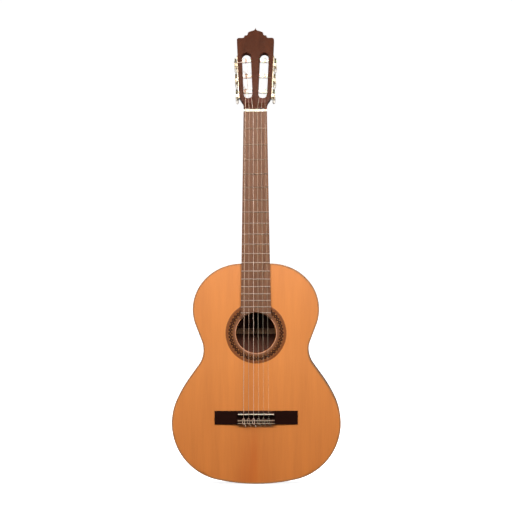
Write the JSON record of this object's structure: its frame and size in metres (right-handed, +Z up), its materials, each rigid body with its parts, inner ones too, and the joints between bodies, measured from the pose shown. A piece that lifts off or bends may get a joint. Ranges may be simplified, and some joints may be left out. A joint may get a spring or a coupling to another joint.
{
  "type": "classical guitar",
  "caption": "Full-size classical guitar with a slotted headstock, tie bridge, inlaid rosette and worm-geared roller tuners.",
  "frame": {"origin": "under the middle of the guitar's whole box: on the centreline, half way through its depth, at the tail of the body", "axes": "+Z up the neck, -Y out of the face towards the player's hand, +X towards the treble side, on the right seen from the front"},
  "size_m": [0.364, 0.1146, 0.9859],
  "materials": {
    "cedar": "french-polished western red cedar, straight grain",
    "mahogany_back": "lacquered mahogany, gloss",
    "lining_wood": "bare planed cedar and mahogany",
    "binding_wood": "lacquered dark wood binding, gloss",
    "purfling_wood": "thin inlaid wood line",
    "block_wood": "bare wood",
    "neck_wood": "satin lacquered mahogany",
    "veneer_wood": "lacquered dark wood veneer",
    "rosewood_board": "oiled rosewood, open pores",
    "nickel_silver": "polished nickel silver",
    "bone": "polished bone",
    "dark_rosewood": "satin dark rosewood",
    "mosaic_wood": "inlaid mosaic of dyed wood, lacquered",
    "border_wood": "inlaid wood lines, lacquered",
    "spruce": "bare quartered spruce",
    "nylon": "clear monofilament nylon",
    "wound_string": "silvered copper winding",
    "roller_plastic": "ivory-coloured moulded plastic",
    "brass": "polished lacquered brass",
    "aged_brass": "aged brass",
    "pearl_plastic": "pearloid plastic"
  },
  "bodies": {
    "root": {"soundboard": "cedar", "back_plate": "mahogany_back", "rib_bass": "mahogany_back", "rib_treble": "mahogany_back", "linings": "lining_wood", "top_binding": "binding_wood", "back_binding": "binding_wood", "top_purfling": "purfling_wood", "tail_block": "block_wood", "neck_block": "block_wood", "neck": "neck_wood", "heel_cap": "binding_wood", "headstock": "neck_wood", "headstock_veneer": "veneer_wood", "fingerboard": "rosewood_board", "frets": "nickel_silver", "nut": "bone", "saddle": "bone", "bridge": "dark_rosewood", "tie_block_inlays": "bone", "rosette_mosaic": "mosaic_wood", "rosette_borders": "border_wood", "harmonic_bars": "spruce", "fan_braces": "spruce", "back_braces": "lining_wood", "back_seam_strip": "spruce", "bridge_patch": "spruce", "string_1": "nylon", "string_2": "nylon", "string_3": "nylon", "string_4": "wound_string", "string_5": "wound_string", "string_6": "wound_string", "tuner_plates": "brass", "worm_bushings": "brass", "tuner_plate_screws": "brass"},
    "button_body_1": {"worm_1": "brass", "button_1": "pearl_plastic"},
    "roller_body_1": {"roller_1": "roller_plastic", "gear_1": "aged_brass"},
    "button_body_2": {"worm_2": "brass", "button_2": "pearl_plastic"},
    "roller_body_2": {"roller_2": "roller_plastic", "gear_2": "aged_brass"},
    "button_body_3": {"worm_3": "brass", "button_3": "pearl_plastic"},
    "roller_body_3": {"roller_3": "roller_plastic", "gear_3": "aged_brass"},
    "button_body_4": {"worm_4": "brass", "button_4": "pearl_plastic"},
    "roller_body_4": {"roller_4": "roller_plastic", "gear_4": "aged_brass"},
    "button_body_5": {"worm_5": "brass", "button_5": "pearl_plastic"},
    "roller_body_5": {"roller_5": "roller_plastic", "gear_5": "aged_brass"},
    "button_body_6": {"worm_6": "brass", "button_6": "pearl_plastic"},
    "roller_body_6": {"roller_6": "roller_plastic", "gear_6": "aged_brass"}
  },
  "joints": [
    {"name": "button_1_turn", "type": "hinge", "parent": "root", "child": "button_body_1", "pos_m": [0.0396, -0.0122, 0.83143], "axis": [0, 0.9659, -0.2588], "continuous": true},
    {"name": "roller_1_turn", "type": "hinge", "parent": "root", "child": "roller_body_1", "pos_m": [0.04001, -0.02475, 0.84447], "axis": [0.999, -0.0113, -0.0421], "continuous": true},
    {"name": "button_2_turn", "type": "hinge", "parent": "root", "child": "button_body_2", "pos_m": [0.04113, -0.00315, 0.86521], "axis": [0, 0.9659, -0.2588], "continuous": true},
    {"name": "roller_2_turn", "type": "hinge", "parent": "root", "child": "roller_body_2", "pos_m": [0.04154, -0.0157, 0.87824], "axis": [0.999, -0.0113, -0.0421], "continuous": true},
    {"name": "button_3_turn", "type": "hinge", "parent": "root", "child": "button_body_3", "pos_m": [0.04266, 0.0059, 0.89898], "axis": [0, 0.9659, -0.2588], "continuous": true},
    {"name": "roller_3_turn", "type": "hinge", "parent": "root", "child": "roller_body_3", "pos_m": [0.04306, -0.00665, 0.91202], "axis": [0.999, -0.0113, -0.0421], "continuous": true},
    {"name": "button_4_turn", "type": "hinge", "parent": "root", "child": "button_body_4", "pos_m": [-0.04266, 0.0059, 0.89898], "axis": [0, 0.9659, -0.2588], "continuous": true},
    {"name": "roller_4_turn", "type": "hinge", "parent": "root", "child": "roller_body_4", "pos_m": [-0.04306, -0.00665, 0.91202], "axis": [-0.999, -0.0113, -0.0421], "continuous": true},
    {"name": "button_5_turn", "type": "hinge", "parent": "root", "child": "button_body_5", "pos_m": [-0.04113, -0.00315, 0.86521], "axis": [0, 0.9659, -0.2588], "continuous": true},
    {"name": "roller_5_turn", "type": "hinge", "parent": "root", "child": "roller_body_5", "pos_m": [-0.04154, -0.0157, 0.87824], "axis": [-0.999, -0.0113, -0.0421], "continuous": true},
    {"name": "button_6_turn", "type": "hinge", "parent": "root", "child": "button_body_6", "pos_m": [-0.0396, -0.0122, 0.83143], "axis": [0, 0.9659, -0.2588], "continuous": true},
    {"name": "roller_6_turn", "type": "hinge", "parent": "root", "child": "roller_body_6", "pos_m": [-0.04001, -0.02475, 0.84447], "axis": [-0.999, -0.0113, -0.0421], "continuous": true}
  ],
  "couplings": [
    {"joint": "roller_1_turn", "follows": "button_1_turn", "ratio": -0.071429},
    {"joint": "roller_2_turn", "follows": "button_2_turn", "ratio": -0.071429},
    {"joint": "roller_3_turn", "follows": "button_3_turn", "ratio": -0.071429},
    {"joint": "roller_4_turn", "follows": "button_4_turn", "ratio": -0.071429},
    {"joint": "roller_5_turn", "follows": "button_5_turn", "ratio": -0.071429},
    {"joint": "roller_6_turn", "follows": "button_6_turn", "ratio": -0.071429}
  ]
}
